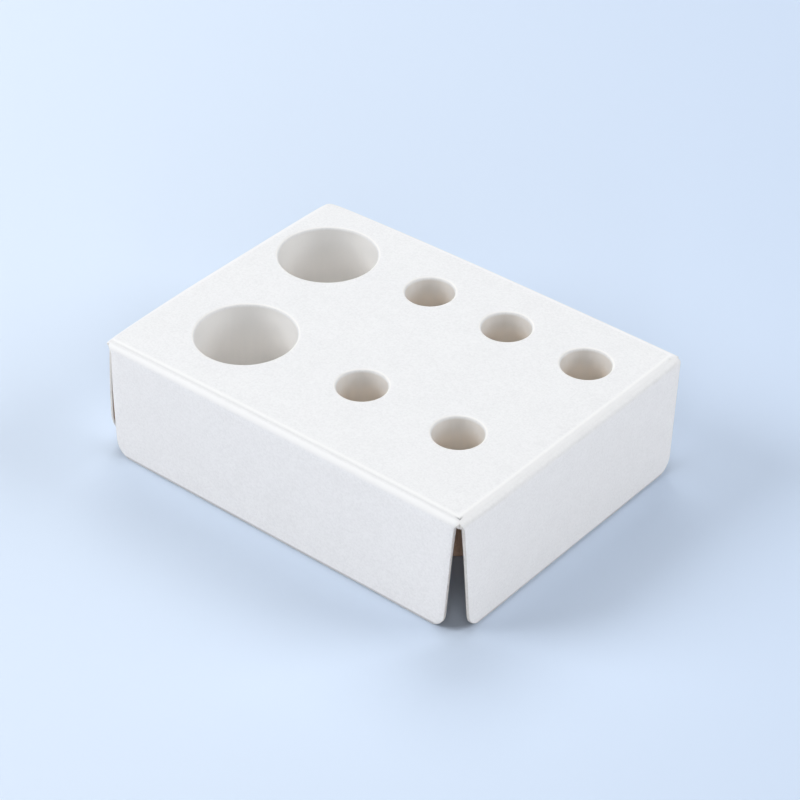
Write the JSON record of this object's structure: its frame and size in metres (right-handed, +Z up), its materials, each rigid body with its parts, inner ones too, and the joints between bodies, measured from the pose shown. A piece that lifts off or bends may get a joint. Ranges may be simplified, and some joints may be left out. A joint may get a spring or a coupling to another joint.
{
  "type": "moulded pulp packaging insert",
  "caption": "Rectangular one-piece moulded pulp tray with four folded-down side flaps and two rows of round wells in two sizes that hold bottles and vials upright in a box.",
  "frame": {"origin": "under the middle of the top panel, on the plane of the flaps' feet", "axes": "+Z up, +X along the panel's length with the large wells at the -X end, +Y across the panel towards the row that has more small wells"},
  "size_m": [0.2, 0.152, 0.058],
  "materials": {
    "pulp": "matt pressed fibre, off-white outside, brown-grey on the side towards the hollow"
  },
  "bodies": {
    "root": {"pulp_insert": "pulp"}
  },
  "joints": []
}
